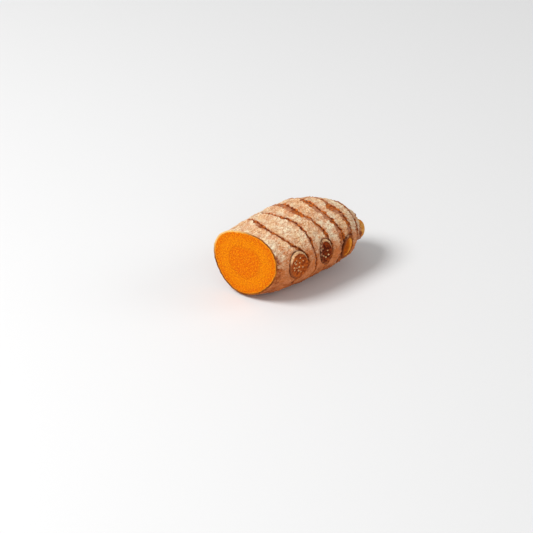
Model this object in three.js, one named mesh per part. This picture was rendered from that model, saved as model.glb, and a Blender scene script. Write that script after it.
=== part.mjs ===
// Turmeric root: one finger of the rhizome, cut across at one end and grown out to its tip bud at the other.
// It is one solid. It lies on its belly along X, with the cut face towards -X and the tip towards +X.
// Millimetres, +Z up. The origin is on the surface that the root lies on, under the middle of its outline.

import * as THREE from "three";
import { LoftGeometry } from "three/addons/geometries/LoftGeometry.js";

// Driving dimensions. Everything else follows from these.
const CUT_RADIUS = 10.05;
const BELLY_RADIUS = 11.6;
const LENGTH = 41.4;
const BELLY_HEIGHT = 11.25; // spine above the table: a little under the belly's radius, so the belly has a flat
const ORIGIN_X = 18.99;
const ORIGIN_Y = -1.02;

// The spine: straight through the belly, then bending to -Y and drooping a little towards the tip.
const SPINE = [
  [0, 1, BELLY_HEIGHT],
  [10, -0.4, BELLY_HEIGHT],
  [20, -1.1, BELLY_HEIGHT + 0.3],
  [28, -3.3, BELLY_HEIGHT - 0.1],
  [34, -4.9, BELLY_HEIGHT - 1.4],
  [39.9, -7.2, BELLY_HEIGHT - 2.6],
];

// The outline, turned about the spine: distance along the spine as a share of LENGTH, and radius.
const OUTLINE = [
  [0, CUT_RADIUS],
  [0.17, 0.96 * BELLY_RADIUS],
  [0.34, BELLY_RADIUS],
  [0.5, 0.985 * BELLY_RADIUS],
  [0.64, 0.915 * BELLY_RADIUS],
  [0.76, 0.77 * BELLY_RADIUS],
  [0.85, 0.6 * BELLY_RADIUS],
  [0.9, 0.46 * BELLY_RADIUS],
  [0.916, 0.29 * BELLY_RADIUS],
  [0.955, 0.265 * BELLY_RADIUS],
  [0.988, 0.19 * BELLY_RADIUS],
  [1, 0.03 * BELLY_RADIUS],
];

// The cut leans: its plane is square to this direction, which points out of the root.
const CUT_TILT_Y = -0.2;
const CUT_TILT_Z = 0.13;

// Leaf scars: each runs once round the root. at is the distance over the skin from the cut, lean how far the
// line runs askew, and towards the direction round the root, in degrees, at which it lies furthest on.
const LEAF_SCARS = [
  { at: 6.4, lean: 1.5, towards: 150 },
  { at: 12.9, lean: 3.8, towards: 172 },
  { at: 18.2, lean: 3.2, towards: 170 },
  { at: 24.9, lean: 4.4, towards: 186 },
  { at: 28.4, lean: 3.4, towards: 174 },
  { at: 33.1, lean: 4.8, towards: 165 },
  { at: 39.6, lean: 0.5, towards: 165 },
];

const SADDLE = 1.1; // how far the leaf scars draw back towards the cut on top of the root

// Bud scars and side buds: across is half their width along the root, around half their width round it.
// rim is how far the rim stands up and heart how far the middle does.
const BUDS = [
  { at: 10.9, turn: 175, across: 2.3, around: 3.75, rim: 0.42, heart: -0.25, scar: 0 },
  { at: 22.2, turn: 173.5, across: 2.9, around: 3.3, rim: 0.36, heart: -0.35, scar: 2 },
  { at: 31.3, turn: 183, across: 1.9, around: 3.6, rim: 0.35, heart: 0.65, scar: 4 },
];

const COLUMNS = 72;
const CROWDING = 0.35; // how much closer the columns stand on the -Y side, where the buds are
const ROWS_BETWEEN = [9, 3, 7, 3, 6, 3, 2, 6]; // rows in each gap between leaf scars, more where there is a bud
const DEGREE = Math.PI / 180;

const spine = new THREE.CatmullRomCurve3(SPINE.map((p) => new THREE.Vector3(...p)), false, "catmullrom");
const outline = new THREE.SplineCurve(OUTLINE.map(([share, r]) => new THREE.Vector2(share * LENGTH, r)));
const SKIN_LENGTH = outline.getLength();

// The shortest turn from b to a, in radians.
function turnBetween(a, b) {
  return Math.atan2(Math.sin(a - b), Math.cos(a - b));
}

function bell(x) {
  return Math.exp(-x * x);
}

// How far along the skin a leaf scar lies, at a turn round the root.
function scarLine(scar, index, turn) {
  let at = scar.at + scar.lean * Math.cos(turn - scar.towards * DEGREE);
  at += 0.25 * Math.sin(3 * turn + 2.1 * index) + 0.18 * Math.sin(5 * turn + 4.3 * index);
  at -= SADDLE * bell(turnBetween(turn, 98 * DEGREE) / (27 * DEGREE));
  for (const bud of BUDS.filter((b) => b.scar === index)) {
    const beyond = bud.at + 1.2 * bud.across - at;
    at += Math.max(beyond, 0) * bell(turnBetween(turn, bud.turn * DEGREE) / (36 * DEGREE));
  }
  return at;
}

// The ridge that a leaf scar leaves: a slow rise, then a crack on the side towards the tip.
const RIDGE = [
  [-1.5, 0],
  [-0.25, 0.24],
  [0.3, -0.22],
  [1.5, 0],
];

function ridge(d) {
  for (let i = 1; i < RIDGE.length; i++) {
    const [x0, h0] = RIDGE[i - 1];
    const [x1, h1] = RIDGE[i];
    if (d > x0 && d <= x1) return THREE.MathUtils.lerp(h0, h1, THREE.MathUtils.smoothstep(d, x0, x1));
  }
  return 0;
}

function budRelief(bud, at, turn, radius) {
  const x = (at - bud.at) / bud.across;
  const y = (turnBetween(turn, bud.turn * DEGREE) * radius) / bud.around;
  const r = Math.hypot(x, y);
  const heart = bud.heart * THREE.MathUtils.smoothstep(0.85 - r, 0, 0.6);
  return heart + bud.rim * bell((r - 0.95) / 0.22) - 0.2 * bell((r - 1.24) / 0.15);
}

// A slow, lumpy swelling of the whole root. Near the cut the root is a little three-sided, its underside sags
// between the cut and the tip, where it rests, and there is a shoulder between the last side bud and the tip.
function swelling(at, turn) {
  const nearCut = THREE.MathUtils.clamp(1 - at / 20, 0, 1);
  const body = 0.16 * Math.sin(2 * turn + 0.09 * at) + 0.12 * Math.sin(3 * turn - 0.16 * at + 1);
  const cut = 0.5 * Math.sin(3 * turn + 0.15) + 0.2 * Math.cos(2 * turn + 0.7);
  const sag = 0.6 * bell(turnBetween(turn, 270 * DEGREE) / (34 * DEGREE)) * bell((at - 21) / 9);
  const shoulder = 0.75 * bell(turnBetween(turn, 194 * DEGREE) / (30 * DEGREE)) * bell((at - 35) / 2.2);
  return THREE.MathUtils.lerp(body, cut, nearCut) + sag + shoulder;
}

// A point of the skin, by its distance over the skin from the cut and its turn round the root.
function skinPoint(at, turn) {
  const p = outline.getPointAt(THREE.MathUtils.clamp(at / SKIN_LENGTH, 0, 1));
  const along = outline.getTangentAt(THREE.MathUtils.clamp(at / SKIN_LENGTH, 0, 1));
  const share = THREE.MathUtils.clamp(p.x / LENGTH, 0, 1);
  const centre = spine.getPointAt(share);
  const ahead = spine.getTangentAt(share);
  const side = new THREE.Vector3(0, 0, 1).cross(ahead).normalize();
  const over = new THREE.Vector3().crossVectors(ahead, side);
  const out = side.multiplyScalar(Math.cos(turn)).addScaledVector(over, Math.sin(turn));
  const fade = THREE.MathUtils.smoothstep(p.y, 1.5, 5);
  let lift = fade * swelling(at, turn);
  LEAF_SCARS.forEach((scar, i) => (lift += ridge(at - scarLine(scar, i, turn))));
  for (const bud of BUDS) lift += budRelief(bud, at, turn, p.y);
  const beyond = Math.min(at, 0);
  return centre.addScaledVector(out, p.y + lift * along.x).addScaledVector(ahead, beyond - lift * along.y);
}

// How far +X the cut's plane lies at a point.
function cutPlane(y, z) {
  return CUT_TILT_Y * (y - SPINE[0][1]) + CUT_TILT_Z * (z - SPINE[0][2]);
}

// How far along the skin the cut lies, at a turn round the root.
function cutLine(turn) {
  let at = 0;
  for (let i = 0; i < 6; i++) {
    const p = skinPoint(at, turn);
    at += cutPlane(p.y, p.z) - p.x;
  }
  return at;
}

// Distances over the skin at which a section is taken: through each leaf scar, and evenly between them.
function sectionLines() {
  const tip = () => SKIN_LENGTH;
  const scars = LEAF_SCARS.map((scar, i) => (turn) => scarLine(scar, i, turn));
  const lines = [cutLine];
  const steps = [-0.75, -0.25, 0.3, 0.75];
  [...scars, tip].forEach((next, i) => {
    const last = i === 0 ? cutLine : scars[i - 1];
    const from = i === 0 ? 0 : steps.at(-1);
    const to = next === tip ? 0 : steps[0];
    for (let k = 1; k <= ROWS_BETWEEN[i]; k++) {
      const share = k / (ROWS_BETWEEN[i] + 1);
      lines.push((turn) => THREE.MathUtils.lerp(last(turn) + from, next(turn) + to, share));
    }
    if (next === tip) lines.push(tip);
    else for (const step of steps) lines.push((turn) => next(turn) + step);
  });
  return lines;
}

function section(line, isCut) {
  const points = [];
  for (let i = 0; i < COLUMNS; i++) {
    const step = (i / COLUMNS) * 2 * Math.PI;
    const turn = step + CROWDING * Math.sin(step);
    const p = skinPoint(line(turn), turn);
    if (isCut) p.x = cutPlane(p.y, p.z);
    p.z = Math.max(p.z, 0);
    points.push(p);
  }
  return points;
}

function sections() {
  return sectionLines().map((line, i) => section(line, i === 0));
}

function turmericRoot() {
  const skin = new THREE.MeshStandardMaterial({ color: 0xc9a184, roughness: 0.85, metalness: 0 });
  const mesh = new THREE.Mesh(new LoftGeometry(sections(), { capStart: true, capEnd: true }), skin);
  mesh.name = "turmeric_root";
  mesh.position.set(-ORIGIN_X, -ORIGIN_Y, 0);
  return mesh;
}

const root = new THREE.Group();
root.add(turmericRoot());

export default root;
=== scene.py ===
import math
import random

import bpy
import numpy as np
from mathutils import Matrix, Vector, noise


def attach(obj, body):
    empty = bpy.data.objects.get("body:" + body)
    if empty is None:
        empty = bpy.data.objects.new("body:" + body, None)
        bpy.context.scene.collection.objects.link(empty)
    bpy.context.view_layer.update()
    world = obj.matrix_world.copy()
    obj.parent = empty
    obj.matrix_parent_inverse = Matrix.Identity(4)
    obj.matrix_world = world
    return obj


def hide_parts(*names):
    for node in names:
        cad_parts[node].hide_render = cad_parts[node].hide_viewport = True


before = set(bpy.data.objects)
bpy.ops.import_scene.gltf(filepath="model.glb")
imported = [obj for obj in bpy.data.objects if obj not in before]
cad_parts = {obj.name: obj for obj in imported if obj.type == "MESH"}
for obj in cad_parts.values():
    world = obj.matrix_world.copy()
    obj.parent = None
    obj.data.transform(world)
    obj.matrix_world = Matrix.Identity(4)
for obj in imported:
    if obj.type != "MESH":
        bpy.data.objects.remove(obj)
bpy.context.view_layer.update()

# The turmeric root is grown straight along X as a cage of rings, rounded, given its leaf scars and bud
# scars, bent along its spine, and then cut. Lengths are in millimetres here, and become metres where they
# meet Blender. A turn is the direction round the root: 0 is +Y, 90 degrees is up and 180 is -Y.
MM = 0.001
FINE = 0.001  # how near a plane a point counts as on it, when cutting

# The same driving numbers as in the part's source.
CUT_RADIUS = 10.05
BELLY_RADIUS = 11.6
LENGTH = 41.4
BELLY_HEIGHT = 11.25
ORIGIN = Vector((18.99, -1.02, 0))

SPINE = [
    (0, 1, BELLY_HEIGHT),
    (10, -0.4, BELLY_HEIGHT),
    (20, -1.1, BELLY_HEIGHT + 0.3),
    (28, -3.3, BELLY_HEIGHT - 0.1),
    (34, -4.9, BELLY_HEIGHT - 1.4),
    (39.9, -7.2, BELLY_HEIGHT - 2.6),
]

# Distance along the spine as a share of LENGTH, and radius as a share of BELLY_RADIUS.
OUTLINE = [
    (0, CUT_RADIUS / BELLY_RADIUS),
    (0.17, 0.96),
    (0.34, 1),
    (0.5, 0.985),
    (0.64, 0.915),
    (0.76, 0.77),
    (0.85, 0.6),
    (0.9, 0.46),
    (0.916, 0.29),
    (0.955, 0.265),
    (0.988, 0.19),
    (1, 0.03),
]

CUT_TILT_Y = -0.2
CUT_TILT_Z = 0.13

# Leaf scars: distance over the skin from the cut, how far askew, the turn at which they lie furthest on,
# and how wide their torn band is.
LEAF_SCARS = [
    {"at": 6.4, "lean": 1.5, "towards": 150, "band": 0.9},
    {"at": 12.9, "lean": 3.8, "towards": 172, "band": 0.7},
    {"at": 18.2, "lean": 3.2, "towards": 170, "band": 1.5},
    {"at": 24.9, "lean": 4.4, "towards": 186, "band": 1.2},
    {"at": 28.4, "lean": 3.4, "towards": 174, "band": 1.6},
    {"at": 33.1, "lean": 4.8, "towards": 165, "band": 1.7},
    {"at": 39.6, "lean": 0.5, "towards": 165, "band": 0.8},
]

# On top of the root the leaf scars draw back towards the cut. Turns and their widths are in degrees.
SADDLE = 1.1
SADDLE_TURN = 98
SADDLE_WIDTH = 27

# Bud scars and side buds. across and around are half their size along the root and round it, rim and heart
# are how far the rim and the middle stand up, and scar is the leaf scar that they push on.
BUDS = [
    {"at": 10.9, "turn": 175, "across": 2.3, "around": 3.75, "rim": 0.42, "heart": -0.25, "scar": 0},
    {"at": 22.2, "turn": 173.5, "across": 2.9, "around": 3.3, "rim": 0.36, "heart": -0.35, "scar": 2},
    {"at": 31.3, "turn": 183, "across": 1.9, "around": 3.6, "rim": 0.35, "heart": 0.65, "scar": 4},
]

# A bud pushes its leaf scar on to this many times its half size, over this width round the root.
PUSH_REACH = 1.2
PUSH_WIDTH = 36

# The pale stubs of rootlets that dot each bud scar. Reach and spacing are shares of the scar's half size.
STUBS_PER_BUD = [13, 6, 0]
STUB_RADIUS = 0.25
STUB_REACH = 0.72
STUB_SPACING = 0.27

# The relief of a leaf scar: torn skin lifts to a lip, then comes a rough band with scraps, then the crack.
LIP_HEIGHT = 0.22
BAND_HEIGHT = 0.04
SCRAP_HEIGHT = 0.5
CRACK_DEPTH = 0.32
CRACK_WIDTH = 0.24
BEYOND_HEIGHT = 0.1
FAR_AWAY = 9.0  # further from a leaf scar than its relief reaches
NOISE_APART = 9.0  # each leaf scar reads the noise this far from the last one's place in it

# The rim of a bud, and the groove round it, as shares of the bud's half size.
RIM_AT = 0.95
RIM_WIDTH = 0.18
GROOVE_AT = 1.22
GROOVE_WIDTH = 0.1
GROOVE_DEPTH = 0.3

# The tip bud: a sheath covers it from SHEATH_FOOT to SHEATH_END, measured over the skin from the tip.
SHEATH_FOOT = (4.6, 5.3)
SHEATH_END = 3.4
SHEATH_SLANT = 0.8
SHEATH_THICKNESS = 0.2
TIP_ROUNDING = 0.6

# Earth and rust beside the cut: where the middle of the stain is, and how far it reaches.
STAIN = {"at": 4.2, "along": 1.8, "turn": 170, "width": 36}

# The cage before it is rounded.
CAGE_COLUMNS = 40
CAGE_STEP = 1.6
LAST_STEP = 0.9
ROUNDING = 3
STUMP = 5.1  # grown beyond the cut, and cut off

# The cut: where the skin's inside and the flesh's outside lie as shares of the cut's outline.
SKIN_INNER = 0.958
FLESH_OUTER = 0.966
FLESH_DEPTH = 1.2
FLESH_BACK = 0.96
FLESH_RINGS = 44
RIM_SPACING = 0.16
FINE_GRAIN = 0.05
SLOW_GRAIN = 0.15
CORE_RING_AT = 0.5
CORE_RING_DEPTH = 0.03
BEARINGS = 181  # directions in which the cut's outline is measured
CUT_NORMAL = Vector((-1, CUT_TILT_Y, CUT_TILT_Z)).normalized()
CUT_POINT = Vector(SPINE[0]) - ORIGIN

SMOOTH_ANGLE = math.radians(60)

# The camera: the photograph's angle, with the cut face at its place in the photograph.
PHOTO = 533
AZIMUTH = math.radians(-42.3)
ELEVATION = math.radians(35.8)
CAMERA_DISTANCE = 500
PIXELS_PER_MM = 3.5
CUT_CENTRE = Vector((0, 0.5, BELLY_HEIGHT)) - ORIGIN
CUT_PIXEL = (245, 263)

random.seed(7)


def curve_through(knots, steps, run_on):
    """Points on a Catmull-Rom curve. run_on carries its ends straight on; if not, they are repeated."""
    k = np.array(knots, float)
    before = 2 * k[0] - k[1] if run_on else k[0]
    after = 2 * k[-1] - k[-2] if run_on else k[-1]
    k = np.vstack([before, k, after])
    t = (np.arange(steps) / steps)[:, None]
    pieces = []
    for p0, p1, p2, p3 in zip(k[:-3], k[1:-2], k[2:-1], k[3:]):
        v1 = (p2 - p0) / 2
        v2 = (p3 - p1) / 2
        cubic = (2 * p1 - 2 * p2 + v1 + v2) * t**3
        square = (-3 * p1 + 3 * p2 - 2 * v1 - v2) * t**2
        pieces.append(cubic + square + v1 * t + p1)
    return np.vstack(pieces + [k[-2:-1]])


def lengths(points):
    steps = np.linalg.norm(np.diff(points, axis=0), axis=1)
    return np.concatenate([[0], np.cumsum(steps)])


spine = curve_through([Vector(p) - ORIGIN for p in SPINE], 60, True)
spine_length = lengths(spine)[-1]
outline = curve_through([(share * LENGTH, r * BELLY_RADIUS) for share, r in OUTLINE], 60, False)
outline_at = lengths(outline)
outline_way = np.gradient(outline, axis=0)
outline_way /= np.linalg.norm(outline_way, axis=1)[:, None]
SKIN_LENGTH = outline_at[-1]


def profile(at):
    """Distance along the spine, radius, and the outline's direction, by distance over the skin."""
    inside = np.clip(at, 0, SKIN_LENGTH)
    along = np.interp(inside, outline_at, outline[:, 0]) * spine_length / LENGTH + np.minimum(at, 0)
    radius = np.interp(inside, outline_at, outline[:, 1])
    way_x = np.interp(inside, outline_at, outline_way[:, 0])
    way_r = np.interp(inside, outline_at, outline_way[:, 1])
    return along, radius, way_x, way_r


def turn_between(a, b):
    return np.arctan2(np.sin(a - b), np.cos(a - b))


def bell(x):
    return np.exp(-x * x)


def bell_round(turn, middle, width):
    """A bell round the root. Its middle and its width are in degrees."""
    return bell(turn_between(turn, math.radians(middle)) / math.radians(width))


def smooth(x, low, high):
    t = np.clip((x - low) / (high - low), 0, 1)
    return t * t * (3 - 2 * t)


def scar_line(index, turn):
    """How far along the skin a leaf scar lies, at a turn round the root."""
    scar = LEAF_SCARS[index]
    at = scar["at"] + scar["lean"] * np.cos(turn - math.radians(scar["towards"]))
    at = at + 0.25 * np.sin(3 * turn + 2.1 * index) + 0.18 * np.sin(5 * turn + 4.3 * index)
    at = at - SADDLE * bell_round(turn, SADDLE_TURN, SADDLE_WIDTH)
    for bud in BUDS:
        if bud["scar"] == index:
            beyond = bud["at"] + PUSH_REACH * bud["across"] - at
            at = at + np.maximum(beyond, 0) * bell_round(turn, bud["turn"], PUSH_WIDTH)
    return at


def bud_distance(bud, at, turn, radius):
    """0 in the bud's middle and 1 on its rim."""
    x = (at - bud["at"]) / bud["across"]
    y = turn_between(turn, math.radians(bud["turn"])) * radius / bud["around"]
    return np.hypot(x, y)


def swelling(at, turn):
    """The root's slow lumps: three-sided near the cut, sagging at the belly, with a shoulder at the tip."""
    near_cut = np.clip(1 - at / 20, 0, 1)
    body = 0.16 * np.sin(2 * turn + 0.09 * at) + 0.12 * np.sin(3 * turn - 0.16 * at + 1)
    cut = 0.5 * np.sin(3 * turn + 0.15) + 0.2 * np.cos(2 * turn + 0.7)
    sag = 0.6 * bell_round(turn, 270, 34) * bell((at - 21) / 9)
    shoulder = 0.75 * bell_round(turn, 194, 30) * bell((at - 35) / 2.2)
    return body + (cut - body) * near_cut + sag + shoulder


def grain(at, turn, along, around, seed):
    """Noise on the skin. along and around are its waves per millimetre."""
    x = at * along + seed
    y = 10 * np.cos(turn) * around
    z = 10 * np.sin(turn) * around
    return np.array([noise.noise(Vector(p)) for p in zip(x, y, z)])


# Modelling.


def deselect():
    for thing in bpy.context.selected_objects:
        thing.select_set(False)


def take(piece):
    deselect()
    piece.select_set(True)
    bpy.context.view_layer.objects.active = piece


def apply_modifier(piece, kind, **values):
    take(piece)
    modifier = piece.modifiers.new(kind.lower(), kind)
    for name, value in values.items():
        setattr(modifier, name, value)
    bpy.ops.object.modifier_apply(modifier=modifier.name)


def attribute(piece, name, values):
    layer = piece.data.attributes.get(name) or piece.data.attributes.new(name, "FLOAT", "POINT")
    layer.data.foreach_set("value", np.asarray(values, np.float32))


def vector_attribute(piece, name, values):
    layer = piece.data.attributes.new(name, "FLOAT_VECTOR", "POINT")
    layer.data.foreach_set("vector", np.asarray(values, np.float32).ravel())


def read(piece, name):
    values = np.zeros(len(piece.data.vertices), np.float32)
    piece.data.attributes[name].data.foreach_get("value", values)
    return values.astype(float)


def read_turn(piece):
    return np.arctan2(read(piece, "turn_z"), read(piece, "turn_y"))


def places(piece):
    co = np.zeros(len(piece.data.vertices) * 3)
    piece.data.vertices.foreach_get("co", co)
    return co.reshape(-1, 3)


def move_to(piece, co):
    piece.data.vertices.foreach_set("co", np.asarray(co, np.float32).ravel())
    piece.data.update()


def straight_root():
    """A straight root: a circle extruded from ring to ring, and closed at the tip."""
    rings = np.arange(-STUMP, SKIN_LENGTH - 1.2, CAGE_STEP)
    stations = np.array([*rings, SKIN_LENGTH - LAST_STEP, SKIN_LENGTH])
    along, radius, _, _ = profile(stations)
    deselect()
    bpy.ops.mesh.primitive_circle_add(
        vertices=CAGE_COLUMNS,
        radius=radius[0] * MM,
        location=(along[0] * MM, 0, 0),
        rotation=(0, math.pi / 2, 0),
    )
    root = bpy.context.object
    root.name = "root_skin"
    bpy.ops.object.transform_apply(location=True, rotation=True, scale=True)
    bpy.ops.object.mode_set(mode="EDIT")
    bpy.ops.mesh.select_all(action="SELECT")
    for i in range(1, len(stations)):
        step = ((along[i] - along[i - 1]) * MM, 0, 0)
        size = radius[i] / radius[i - 1]
        bpy.ops.mesh.extrude_region_move(TRANSFORM_OT_translate={"value": step})
        bpy.ops.transform.resize(value=(1, size, size), center_override=(along[i] * MM, 0, 0))
    bpy.ops.mesh.merge(type="CENTER")
    bpy.ops.mesh.select_all(action="SELECT")
    bpy.ops.mesh.normals_make_consistent(inside=False)
    bpy.ops.object.mode_set(mode="OBJECT")
    mark_skin(root, stations, along)
    apply_modifier(root, "SUBSURF", levels=ROUNDING, render_levels=ROUNDING)
    return root


def mark_skin(root, stations, along):
    """Marks each point of the cage with its distance over the skin and its turn round the root."""
    co = places(root) / MM
    nearest = np.abs(co[:, 0][:, None] - along[None]).argmin(1)
    turn = np.arctan2(co[:, 2], co[:, 1])
    attribute(root, "at", stations[nearest])
    attribute(root, "turn_y", np.cos(turn))
    attribute(root, "turn_z", np.sin(turn))


def nearest_scar(at, turn):
    """How far each point is past the nearest leaf scar's crack, and past the torn edge of its band."""
    best = np.full(len(at), FAR_AWAY)
    crack = np.full(len(at), FAR_AWAY)
    edge = np.full(len(at), FAR_AWAY)
    for i, scar in enumerate(LEAF_SCARS):
        own = np.full(len(at), NOISE_APART * i)
        wander = 0.36 * grain(own, turn, 1, 0.7, seed=40) + 0.14 * grain(own, turn, 1, 1.6, seed=50)
        past = at - scar_line(i, turn) + wander
        width = scar["band"] * (1 + 0.9 * grain(own, turn, 1, 0.25, seed=60))
        tear = 0.5 * grain(own, turn, 1, 0.8, seed=70) + 0.5 * grain(own, turn, 1, 1.9, seed=80)
        past_edge = past + np.maximum(width + tear, 0.15)
        far = np.abs(past + scar["band"] / 2)
        closer = far < best
        best = np.where(closer, far, best)
        crack = np.where(closer, past, crack)
        edge = np.where(closer, past_edge, edge)
    return crack, edge


def scar_relief(crack, edge, scraps):
    """The lift of a leaf scar, and where its rough band is."""
    lip = LIP_HEIGHT * smooth(edge, -1.4, -0.1) * (1 - smooth(edge, 0, 0.25))
    band = smooth(edge, 0, 0.2) * (1 - smooth(crack, -0.1, 0.1))
    rough = band * (BAND_HEIGHT + SCRAP_HEIGHT * np.maximum(scraps, 0))
    groove = CRACK_DEPTH * bell(crack / CRACK_WIDTH)
    beyond = BEYOND_HEIGHT * smooth(crack, 0.15, 0.5) * (1 - smooth(crack, 0.6, 1.8))
    return lip + rough - groove + beyond, band


def bud_relief(bud, far):
    heart = bud["heart"] * smooth(0.85 - far, 0, 0.6)
    rim = bud["rim"] * bell((far - RIM_AT) / RIM_WIDTH)
    return heart + rim - GROOVE_DEPTH * bell((far - GROOVE_AT) / GROOVE_WIDTH)


def tip_sheath(tip, turn):
    """1 where the tip bud's sheath covers it, and 0 past the sheath's slanted and torn end."""
    torn = 0.7 * grain(0 * tip, turn, 1, 0.5, seed=90)
    end = SHEATH_END + SHEATH_SLANT * np.sin(turn) + torn
    return smooth(tip, end - 0.1, end + 0.15)


def raise_skin(root):
    """Lays the mesh on the root's true outline, with its swellings, scars, buds and fine wrinkles."""
    at = read(root, "at")
    turn = read_turn(root)
    tip = SKIN_LENGTH - at
    along, radius, way_x, way_r = profile(at)
    crack, edge = nearest_scar(at, turn)
    scraps = grain(at, turn, 0.8, 1.3, seed=20) + 0.5 * grain(at, turn, 1.8, 2.6, seed=30)
    scar_lift, band = scar_relief(crack, edge, scraps)
    off_buds = np.ones(len(at))
    lift = np.zeros(len(at))
    for i, bud in enumerate(BUDS):
        far = bud_distance(bud, at, turn, radius)
        off_buds = off_buds * smooth(far, 0.95, 1.1)
        lift = lift + bud_relief(bud, far)
        attribute(root, f"bud_{i + 1}", np.minimum(far, 3))
    stout = smooth(radius, 1.5, 5)
    wrinkles = 0.12 * grain(at, turn, 0.25, 0.9, seed=3) + 0.1 * grain(at, turn, 1.3, 1.3, seed=8)
    lift = lift + stout * (swelling(at, turn) + wrinkles) + smooth(radius, 1, 3) * off_buds * scar_lift
    sheath = tip_sheath(tip, turn)
    lift = lift + SHEATH_THICKNESS * sheath * (1 - smooth(tip, *SHEATH_FOOT))
    out = (radius + lift * way_x) * np.minimum(tip / TIP_ROUNDING, 1)
    co = np.stack([along - lift * way_r, out * np.cos(turn), out * np.sin(turn)], 1)
    move_to(root, co * MM)
    attribute(root, "band", band * off_buds)
    attribute(root, "crack", np.minimum(np.abs(crack), 3))
    # Brown on the tip side of each crack: painted soft shade under the leaf scar's step.
    attribute(root, "shade_behind_crack", np.where(crack > 0, np.exp(-crack / 0.7), 0) * off_buds)
    attribute(root, "tip", tip)
    attribute(root, "sheath", sheath)
    # 1 underneath and 0 on top: where the skin turns tan and rust brown, partly its own rust and earth and
    #                            partly painted shade.
    attribute(root, "soil_and_shade", smooth(-np.sin(turn), -0.9, 0.7))
    stain = bell_round(turn, STAIN["turn"], STAIN["width"]) * bell((at - STAIN["at"]) / STAIN["along"])
    attribute(root, "stain", stain)
    vector_attribute(root, "grain", np.stack([at, 10 * np.cos(turn), 10 * np.sin(turn)], 1))


def bend_root(root):
    """Bends the straight root along its spine, and flattens the belly where it lies on the table."""
    path = bpy.data.curves.new("spine", "CURVE")
    path.dimensions = "3D"
    path.twist_mode = "Z_UP"
    line = path.splines.new("POLY")
    line.points.add(len(spine) - 1)
    for point, place in zip(line.points, spine):
        point.co = (*(place * MM), 1)
    guide = bpy.data.objects.new("spine", path)
    bpy.context.scene.collection.objects.link(guide)
    apply_modifier(root, "CURVE", object=guide, deform_axis="POS_X")
    bpy.data.objects.remove(guide)
    bpy.data.curves.remove(path)
    co = places(root)
    co[:, 2] = np.maximum(co[:, 2], 0)
    move_to(root, co)


def select_rim():
    bpy.ops.mesh.select_mode(type="EDGE")
    bpy.ops.mesh.select_all(action="DESELECT")
    bpy.ops.mesh.select_non_manifold(
        use_wire=True,
        use_boundary=True,
        use_multi_face=False,
        use_verts=False,
    )


def cut_root(root):
    """Slices the stump off and turns the skin in at the cut. Returns the cut's outline as a new piece."""
    take(root)
    bpy.ops.object.mode_set(mode="EDIT")
    bpy.ops.mesh.select_all(action="SELECT")
    bpy.ops.mesh.bisect(
        plane_co=CUT_POINT * MM,
        plane_no=CUT_NORMAL,
        clear_outer=True,
        threshold=FINE * MM,
    )
    select_rim()
    bpy.ops.mesh.duplicate()
    bpy.ops.mesh.separate(type="SELECTED")
    flesh = next(thing for thing in bpy.context.selected_objects if thing != root)
    flesh.name = "cut_face"
    select_rim()
    bpy.ops.mesh.extrude_region_move()
    bpy.ops.transform.resize(value=(SKIN_INNER,) * 3, center_override=CUT_POINT * MM)
    inwards = -CUT_NORMAL * FLESH_DEPTH * MM
    bpy.ops.mesh.extrude_region_move(TRANSFORM_OT_translate={"value": inwards})
    bpy.ops.mesh.edge_face_add()
    bpy.ops.object.mode_set(mode="OBJECT")
    depth = (places(root) / MM - np.array(CUT_POINT)) @ np.array(CUT_NORMAL)
    attribute(root, "cut_edge", depth > -FINE)
    return flesh


def fill_cut(flesh):
    """Draws the cut's outline in, ring by ring, to the middle, and gives it a back inside the skin."""
    take(flesh)
    centre = CUT_POINT * MM
    bpy.ops.object.mode_set(mode="EDIT")
    bpy.ops.mesh.select_all(action="SELECT")
    bpy.ops.mesh.remove_doubles(threshold=RIM_SPACING * MM)
    bpy.ops.transform.resize(value=(FLESH_OUTER,) * 3, center_override=centre)
    share = 1
    for i in range(1, FLESH_RINGS):
        next_share = 1 - i / FLESH_RINGS
        bpy.ops.mesh.extrude_region_move()
        bpy.ops.transform.resize(value=(next_share / share,) * 3, center_override=centre)
        share = next_share
    bpy.ops.mesh.merge(type="CENTER")
    select_rim()
    inwards = -CUT_NORMAL * FLESH_BACK * MM
    bpy.ops.mesh.extrude_region_move(TRANSFORM_OT_translate={"value": inwards})
    bpy.ops.mesh.edge_face_add()
    bpy.ops.mesh.select_all(action="SELECT")
    bpy.ops.mesh.normals_make_consistent(inside=False)
    bpy.ops.object.mode_set(mode="OBJECT")


def share_of_reach(x, y):
    """How far each point of the cut lies from its middle, as a share of the way to the outline there."""
    angle = np.arctan2(y, x)
    far = np.hypot(x, y)
    bearings = np.linspace(-math.pi, math.pi, BEARINGS)
    near = 0.04
    reach = [far[np.abs(turn_between(angle, bearing)) < near].max() for bearing in bearings]
    return far / np.interp(angle, bearings, reach)


def roughen_cut(flesh):
    """A fresh cut is a little grainy, with a faint ring between the core and the outer flesh."""
    co = places(flesh) / MM
    normal = np.array(CUT_NORMAL)
    from_centre = co - np.array(CUT_POINT)
    depth = from_centre @ normal
    across = np.array(Vector((0, 1, 0)).cross(CUT_NORMAL).normalized())
    upward = np.cross(normal, across)
    x = from_centre @ across
    y = from_centre @ upward
    share = share_of_reach(x, y)
    front = depth > -0.1
    fine = np.array([noise.noise(Vector((a * 1.2, b * 1.2, 3))) for a, b in zip(x, y)])
    slow = np.array([noise.noise(Vector((a * 0.25, b * 0.25, 5))) for a, b in zip(x, y)])
    ring = bell((share - CORE_RING_AT) / 0.03)
    lift = FINE_GRAIN * fine + SLOW_GRAIN * slow - CORE_RING_DEPTH * ring
    lift = lift * (1 - smooth(share, 0.97, 1)) - 0.1 * smooth(share, 0.975, 1)
    co = co + np.where(front, lift, 0)[:, None] * normal
    move_to(flesh, co * MM)
    attribute(flesh, "share", share)
    vector_attribute(flesh, "flat", np.stack([x, y, depth], 1))


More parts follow.
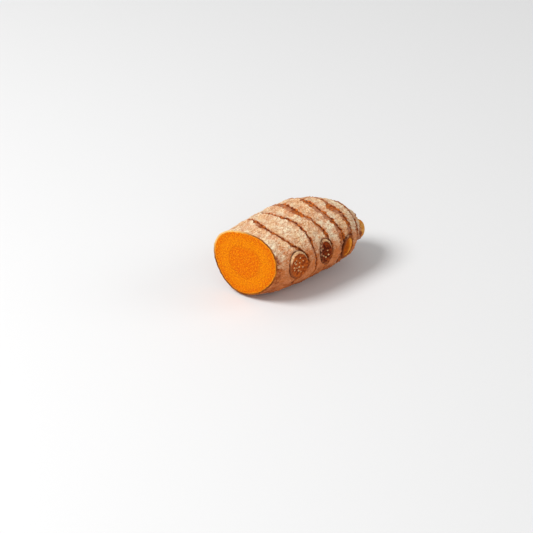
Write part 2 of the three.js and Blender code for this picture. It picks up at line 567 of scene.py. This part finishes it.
def scatter(count, reach, spacing):
    """Places inside a circle, none closer together than spacing."""
    found = []
    while len(found) < count:
        place = Vector((random.uniform(-reach, reach), random.uniform(-reach, reach)))
        if place.length < reach and all((place - other).length > spacing for other in found):
            found.append(place)
    return found


def one_stub():
    """The stub of a rootlet: a low dome, broken off unevenly on top."""
    deselect()
    bpy.ops.mesh.primitive_ico_sphere_add(subdivisions=2, radius=STUB_RADIUS * MM)
    stub = bpy.context.object
    bpy.ops.object.mode_set(mode="EDIT")
    bpy.ops.mesh.select_all(action="SELECT")
    bpy.ops.mesh.bisect(
        plane_co=(0, 0, 0.45 * STUB_RADIUS * MM),
        plane_no=(0.2, 0.1, 1),
        use_fill=True,
        clear_outer=True,
        threshold=FINE * MM,
    )
    bpy.ops.mesh.inset(thickness=0.2 * STUB_RADIUS * MM, depth=-0.15 * STUB_RADIUS * MM)
    bpy.ops.object.mode_set(mode="OBJECT")
    return stub


def set_stubs(root):
    """Copies the stub over the bud scars, each turned to the skin there, and joins the copies."""
    at = read(root, "at")
    turn = read_turn(root)
    pattern = one_stub()
    copies = []
    for bud, count in zip(BUDS, STUBS_PER_BUD):
        middle = math.radians(bud["turn"])
        for place in scatter(count, STUB_REACH, STUB_SPACING):
            along = at - bud["at"] - place.x * bud["across"]
            way_round = turn_between(turn, middle + place.y * bud["around"] / BELLY_RADIUS)
            nearest = np.hypot(along, way_round * BELLY_RADIUS).argmin()
            spot = root.data.vertices[int(nearest)]
            copy = pattern.copy()
            copy.data = pattern.data.copy()
            bpy.context.scene.collection.objects.link(copy)
            copy.location = spot.co
            copy.rotation_euler = spot.normal.to_track_quat("Z", "Y").to_euler()
            copy.scale = [random.uniform(0.7, 1.25), random.uniform(0.7, 1.25), 1]
            copies.append(copy)
    bpy.data.objects.remove(pattern)
    take(copies[0])
    for copy in copies:
        copy.select_set(True)
    bpy.ops.object.join()
    bpy.ops.object.transform_apply(location=True, rotation=True, scale=True)
    stubs = bpy.context.object
    stubs.name = "root_stubs"
    return stubs


root = straight_root()
raise_skin(root)
bend_root(root)
flesh = cut_root(root)
fill_cut(flesh)
roughen_cut(flesh)
stubs = set_stubs(root)
for piece in (root, flesh, stubs):
    take(piece)
    bpy.ops.object.shade_smooth_by_angle(angle=SMOOTH_ANGLE)

# Finishes.


def srgb(red, green, blue):
    """A colour as it is seen, 0 to 255, made linear."""
    values = [v / 255 for v in (red, green, blue)]
    return (*[v / 12.92 if v <= 0.04045 else ((v + 0.055) / 1.055) ** 2.4 for v in values], 1)


class Finish:
    """A material, with short ways to add the nodes that it is made of."""

    def __init__(self, name, roughness, specular):
        self.material = bpy.data.materials.new(name)
        self.material.use_nodes = True
        self.nodes = self.material.node_tree.nodes
        self.links = self.material.node_tree.links
        self.shader = self.nodes["Principled BSDF"]
        self.shader.inputs["Roughness"].default_value = roughness
        self.shader.inputs["Specular IOR Level"].default_value = specular
        self.mix = None

    def put(self, socket, value):
        if isinstance(value, bpy.types.NodeSocket):
            self.links.new(value, socket)
        else:
            socket.default_value = value

    def attribute(self, name, output="Fac"):
        node = self.nodes.new("ShaderNodeAttribute")
        node.attribute_name = name
        return node.outputs[output]

    def object_place(self):
        return self.nodes.new("ShaderNodeTexCoord").outputs["Object"]

    def split(self, vector):
        node = self.nodes.new("ShaderNodeSeparateXYZ")
        self.put(node.inputs[0], vector)
        return node.outputs

    def noise(self, vector, scale, stretch=(1, 1, 1), detail=2, roughness=0.5):
        mapping = self.nodes.new("ShaderNodeMapping")
        self.put(mapping.inputs["Vector"], vector)
        mapping.inputs["Scale"].default_value = stretch
        node = self.nodes.new("ShaderNodeTexNoise")
        self.put(node.inputs["Vector"], mapping.outputs["Vector"])
        node.inputs["Scale"].default_value = scale
        node.inputs["Detail"].default_value = detail
        node.inputs["Roughness"].default_value = roughness
        return node.outputs["Fac"]

    def between(self, value, low, high, to_low=0, to_high=1):
        """Rises smoothly from to_low where the value is low, to to_high where it is high."""
        node = self.nodes.new("ShaderNodeMapRange")
        node.interpolation_type = "SMOOTHSTEP"
        self.put(node.inputs["Value"], value)
        node.inputs["From Min"].default_value = low
        node.inputs["From Max"].default_value = high
        node.inputs["To Min"].default_value = to_low
        node.inputs["To Max"].default_value = to_high
        return node.outputs["Result"]

    def maths(self, operation, a, b):
        node = self.nodes.new("ShaderNodeMath")
        node.operation = operation
        self.put(node.inputs[0], a)
        self.put(node.inputs[1], b)
        return node.outputs["Value"]

    def add(self, a, b, times=1):
        """a plus b times a number."""
        return self.maths("ADD", a, b if times == 1 else self.maths("MULTIPLY", b, times))

    def times(self, a, b):
        return self.maths("MULTIPLY", a, b)

    def blend(self, factor, a, b):
        node = self.nodes.new("ShaderNodeMix")
        node.data_type = "RGBA"
        self.put(node.inputs[0], factor)
        self.put(node.inputs[6], a)
        self.put(node.inputs[7], b)
        return node.outputs[2]

    def lay(self, cover, colour):
        """Lays a colour over what is there already, as far as cover says."""
        self.mix = self.blend(cover, self.mix, colour)

    def bump(self, height, distance, strength=1):
        node = self.nodes.new("ShaderNodeBump")
        node.inputs["Strength"].default_value = strength
        node.inputs["Distance"].default_value = distance
        self.put(node.inputs["Height"], height)
        self.links.new(node.outputs["Normal"], self.shader.inputs["Normal"])

    def colour(self, value):
        self.put(self.shader.inputs["Base Color"], value)


class SkinFinish(Finish):
    """The skin's material. Its patterns follow the skin, in waves per millimetre."""

    def __init__(self):
        super().__init__("turmeric_skin", roughness=0.85, specular=0.06)
        way = self.attribute("grain", "Vector")
        self.at = self.split(way)["X"]
        self.where = self.object_place()
        self.place = self.split(self.where)
        self.fibres = self.noise(way, 1.7, (0.45, 1, 1), detail=3, roughness=0.7)
        self.fuzz = self.noise(way, 3.2, (0.7, 1, 1), detail=2, roughness=0.7)
        self.patches = self.noise(way, 0.22, detail=3)
        self.blush = self.noise(way, 0.5, (0.7, 1, 1), detail=3)
        self.torn = self.noise(way, 1.5, (0.8, 1, 1), detail=3, roughness=0.7)
        self.flakes = self.noise(way, 0.7, (0.8, 1, 1), detail=4, roughness=0.7)
        self.crease = self.creases(way)

    def creases(self, way):
        """0 in a fine crease, where one of two crossing patterns passes through its middle."""
        along = self.maths("SUBTRACT", self.noise(way, 1.1, (0.45, 1, 1), detail=1), 0.5)
        across = self.maths("SUBTRACT", self.noise(way, 1, (1.4, 0.6, 0.6), detail=1), 0.5)
        return self.maths("MINIMUM", self.maths("ABSOLUTE", along, 0), self.maths("ABSOLUTE", across, 0))

    def lay_ground(self):
        """Cream on top, tan on the sides and rust brown underneath, with fuzzy fibres and fine creases. The
        tan and the rust brown are partly the skin's own rust and earth, and partly painted shade on the
        sides and underneath.
        """
        cream = srgb(255, 238, 202)
        straw = srgb(246, 202, 152)
        self.mix = self.blend(self.between(self.patches, 0.35, 0.65), cream, straw)
        self.lay(self.between(self.blush, 0.45, 0.6, 0, 0.55), srgb(218, 142, 88))
        # Tan on the sides and dark brown underneath: partly the skin's own rust and earth, and partly
        # painted shade.
        soil_and_shade = self.add(self.attribute("soil_and_shade"), self.maths("SUBTRACT", self.blush, 0.5), times=0.8)
        self.lay(self.between(soil_and_shade, -0.06, 0.6, 0, 0.88), srgb(218, 116, 48))
        self.lay(self.between(soil_and_shade, 0.78, 1.15, 0, 0.85), srgb(148, 64, 24))
        self.lay(self.between(self.fibres, 0.49, 0.6, 0, 0.55), srgb(190, 110, 56))
        self.lay(self.between(self.fuzz, 0.54, 0.66, 0, 0.4), srgb(152, 78, 36))
        # Pale fibre flecks, kept to the top and faded underneath: partly the skin's own fibres and partly
        # painted highlight on the lit top.
        clean_and_lit = self.between(soil_and_shade, 0.7, 0.05, 0.15, 1)
        self.lay(self.times(self.between(self.fuzz, 0.49, 0.38, 0, 0.6), clean_and_lit), srgb(254, 236, 204))
        self.lay(self.between(self.crease, 0.05, 0, 0, 0.34), srgb(182, 96, 54))

    def lay_stain(self):
        """Rust and earth beside the cut."""
        stain = self.between(self.attribute("stain"), 0.2, 0.75)
        self.lay(self.times(stain, self.between(self.flakes, 0.4, 0.54, 0, 0.9)), srgb(180, 88, 36))
        self.lay(self.times(stain, self.between(self.torn, 0.52, 0.62, 0, 0.8)), srgb(112, 48, 22))

    def lay_scars(self):
        """Leaf scars: the rough band, painted soft shade past its crack, rusty scraps, and the dark crack.
        """
        rust = self.blend(self.between(self.torn, 0.42, 0.58), srgb(146, 74, 40), srgb(204, 110, 46))
        rust = self.blend(self.between(self.blush, 0.42, 0.58, 0, 0.85), rust, srgb(192, 132, 98))
        self.lay(self.between(self.add(self.attribute("band"), self.torn, times=0.7), 0.72, 0.95), rust)
        # Painted soft shade on the tip side of each crack.
        self.lay(self.between(self.attribute("shade_behind_crack"), 0.1, 1, 0, 0.5), srgb(168, 94, 52))
        crack = self.attribute("crack")
        scraps = self.blend(self.between(self.torn, 0.42, 0.58), srgb(206, 108, 36), srgb(140, 58, 20))
        self.lay(self.between(self.add(crack, self.flakes, times=-2), -0.58, -0.74, 0, 0.95), scraps)
        dark = srgb(100, 36, 14)
        self.lay(self.between(self.add(crack, self.torn, times=-1.3), -0.42, -0.6, 0, 0.9), dark)

    def lay_buds(self):
        """Bud scars: a dark outline, a rim with a painted highlight on its top side and painted shade
        below, and a brown disc. The side bud is young and yellow.
        """
        first, second, third = [self.attribute(f"bud_{i + 1}") for i in range(len(BUDS))]
        outline = self.between(first, 1.33, 1.24)
        outline = self.maths("MAXIMUM", outline, self.between(second, 1.3, 1.22))
        outline = self.maths("MAXIMUM", outline, self.between(third, 1.3, 1.2))
        outline = self.times(outline, self.between(self.torn, 0.62, 0.42, 0.4, 0.95))
        self.lay(outline, srgb(84, 34, 18))

        # The rims are painted light on their top side and brown below: painted highlight and painted shade.
        lit_upper = self.between(self.place["Z"], 0.0132, 0.0148)
        rim = self.blend(lit_upper, srgb(166, 90, 48), srgb(234, 192, 144))
        rim = self.blend(self.between(self.fuzz, 0.46, 0.6, 0, 0.6), rim, srgb(150, 84, 48))
        self.lay(self.between(first, 1.22, 1.14), rim)
        self.lay(self.times(self.between(second, 1.2, 1.12), self.between(self.at, 20.6, 22.6)), rim)

        disc = self.blend(self.between(self.torn, 0.4, 0.6), srgb(206, 104, 40), srgb(142, 58, 22))
        dark_disc = self.blend(self.between(self.torn, 0.42, 0.62), srgb(92, 34, 18), srgb(166, 70, 24))
        self.lay(self.between(first, 1.06, 0.96), disc)
        self.lay(self.between(second, 1.04, 0.94), dark_disc)

        young = self.blend(self.between(self.at, 30.6, 32.2), srgb(176, 84, 18), srgb(255, 172, 58))
        young = self.blend(self.between(self.fibres, 0.45, 0.62, 0, 0.6), young, srgb(214, 104, 22))
        self.lay(self.between(third, 1.1, 1.0), srgb(150, 78, 36))
        self.lay(self.between(third, 0.92, 0.78), young)

    def lay_tip(self):
        """The tip bud: dark at its foot, brown where its sheath covers it, and yellow where it is bare."""
        tip = self.attribute("tip")
        covered = self.attribute("sheath")
        mottle = self.noise(self.where, 900, detail=2)
        sheath = self.blend(self.between(mottle, 0.42, 0.58), srgb(232, 158, 114), srgb(172, 96, 60))
        yellow = self.blend(self.between(mottle, 0.4, 0.65), srgb(255, 186, 98), srgb(255, 152, 56))
        bud = self.blend(self.between(covered, 0.3, 0.7), yellow, sheath)
        # A dark line at the sheath's torn edge: partly the torn edge's own colour and partly painted shade
        # under the sheath's step.
        torn_edge_and_shade = self.times(self.between(covered, 0.1, 0.5), self.between(covered, 0.95, 0.5, 0, 0.6))
        bud = self.blend(torn_edge_and_shade, bud, srgb(130, 62, 26))
        self.lay(self.between(tip, 6.4, 5.6, 0, 0.95), srgb(84, 36, 26))
        self.lay(self.between(tip, 5.0, 4.4), bud)

    def lay_cut_edge(self):
        """The skin's cut edge: cream where it catches the light, brown below."""
        high = self.between(self.place["Z"], 0.008, 0.015)
        back = self.between(self.place["Y"], -0.002, 0.006)
        edge = self.blend(self.between(self.blush, 0.35, 0.65), srgb(122, 62, 24), srgb(166, 96, 36))
        edge = self.blend(self.times(high, back), edge, srgb(244, 196, 118))
        self.lay(self.between(self.attribute("cut_edge"), 0.3, 0.8), edge)

    def raise_grain(self):
        relief = self.add(self.times(self.fibres, 0.6), self.fuzz, times=0.5)
        relief = self.add(relief, self.between(self.crease, 0, 0.09, 0, 0.2))
        self.bump(relief, 0.5 * MM)


def skin_finish():
    skin = SkinFinish()
    skin.lay_ground()
    skin.lay_stain()
    skin.lay_scars()
    skin.lay_buds()
    skin.lay_tip()
    skin.lay_cut_edge()
    skin.colour(skin.mix)
    skin.raise_grain()
    return skin.material


def flesh_finish():
    """Fresh turmeric: orange and speckled, with a ring round the core, paler and then brown at its edge."""
    flesh = Finish("turmeric_flesh", roughness=0.6, specular=0.04)
    flat = flesh.attribute("flat", "Vector")
    share = flesh.attribute("share")
    speckle = flesh.noise(flat, 2, detail=4, roughness=0.75)
    spots = flesh.noise(flat, 3, detail=3, roughness=0.75)
    cloud = flesh.noise(flat, 0.35, detail=3)
    wander = flesh.add(share, flesh.maths("SUBTRACT", cloud, 0.5), times=0.14)
    core = srgb(224, 104, 2)
    outer = srgb(230, 126, 3)
    flesh.mix = flesh.blend(flesh.between(wander, 0.42, 0.56), core, outer)
    flesh.lay(flesh.between(wander, 0.7, 0.95, 0, 0.85), srgb(220, 100, 2))
    flesh.lay(flesh.between(speckle, 0.46, 0.62, 0, 0.9), srgb(248, 158, 8))
    flesh.lay(flesh.between(spots, 0.49, 0.62, 0, 0.85), srgb(192, 74, 1))
    ring = flesh.times(flesh.between(wander, 0.46, 0.5), flesh.between(wander, 0.54, 0.5))
    flesh.lay(flesh.times(ring, 0.35), srgb(196, 86, 3))
    flesh.lay(flesh.between(share, 0.95, 0.99, 0, 0.5), srgb(255, 176, 44))
    flesh.lay(flesh.between(share, 0.985, 1.0, 0, 0.85), srgb(160, 88, 36))
    flesh.colour(flesh.mix)
    flesh.shader.inputs["Subsurface Weight"].default_value = 0.15
    flesh.shader.inputs["Subsurface Radius"].default_value = (1.0, 0.35, 0.1)
    flesh.shader.inputs["Subsurface Scale"].default_value = 0.8 * MM
    relief = flesh.add(flesh.times(speckle, 0.6), spots, times=0.4)
    flesh.bump(relief, 0.25 * MM, 0.8)
    return flesh.material


def stub_finish():
    stubs = Finish("root_stubs", roughness=0.6, specular=0.3)
    mottle = stubs.noise(stubs.object_place(), 3000, detail=2)
    stubs.colour(stubs.blend(stubs.between(mottle, 0.4, 0.6), srgb(250, 212, 156), srgb(208, 150, 96)))
    return stubs.material


def dress(piece, material):
    piece.data.materials.clear()
    piece.data.materials.append(material)
    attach(piece, "root")
    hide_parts("turmeric_root")


dress(root, skin_finish())
dress(flesh, flesh_finish())
dress(stubs, stub_finish())

# The floor, the light and the camera. Lamps are placed and sized in metres.


def lay_floor():
    bpy.ops.mesh.primitive_plane_add(size=6, location=(0, 0, -0.02 * MM))
    floor = bpy.context.object
    floor.name = "floor"
    paper = Finish("floor_paper", roughness=0.9, specular=0.2)
    paper.colour((0.78, 0.78, 0.78, 1))
    floor.data.materials.append(paper.material)


def aim(thing, place, back, right):
    """Puts a camera or a lamp at a place, looking away from back."""
    up = back.cross(right)
    turned = Matrix((right, up, back)).transposed()
    thing.matrix_world = Matrix.Translation(place) @ turned.to_4x4()


def soft_light(name, direction, distance, size, watts):
    lamp = bpy.data.lights.new(name, "AREA")
    lamp.shape = "DISK"
    lamp.size = size
    lamp.energy = watts
    thing = bpy.data.objects.new(name, lamp)
    bpy.context.scene.collection.objects.link(thing)
    back = Vector(direction).normalized()
    right = Vector((0, 0, 1)).cross(back).normalized()
    aim(thing, back * distance, back, right)


def set_camera():
    back = Vector((
        math.sin(AZIMUTH) * math.cos(ELEVATION),
        -math.cos(AZIMUTH) * math.cos(ELEVATION),
        math.sin(ELEVATION),
    ))
    right = Vector((math.cos(AZIMUTH), math.sin(AZIMUTH), 0))
    up = back.cross(right)
    side = (CUT_PIXEL[0] - PHOTO / 2) / PIXELS_PER_MM
    rise = (PHOTO / 2 - CUT_PIXEL[1]) / PIXELS_PER_MM
    place = CUT_CENTRE + back * CAMERA_DISTANCE - right * side - up * rise
    lens = bpy.data.cameras.new("camera")
    lens.sensor_width = 36
    lens.lens = lens.sensor_width * PIXELS_PER_MM * CAMERA_DISTANCE / PHOTO
    lens.clip_start = 0.01
    camera = bpy.data.objects.new("camera", lens)
    bpy.context.scene.collection.objects.link(camera)
    aim(camera, place * MM, back, right)
    bpy.context.scene.camera = camera


def set_world():
    world = bpy.data.worlds.new("studio")
    bpy.context.scene.world = world
    world.use_nodes = True
    backdrop = world.node_tree.nodes["Background"]
    backdrop.inputs["Color"].default_value = (1, 1, 1, 1)
    backdrop.inputs["Strength"].default_value = 0.42
    bpy.context.scene.view_settings.view_transform = "Standard"


lay_floor()
set_world()
soft_light("key", direction=(-0.72, 0.32, 1), distance=0.7, size=0.3, watts=4.05)
soft_light("fill", direction=(-0.6, -1, 0.5), distance=0.9, size=0.6, watts=0.65)
soft_light("side", direction=(0.9, -0.7, 0.6), distance=0.9, size=0.4, watts=1.3)
set_camera()
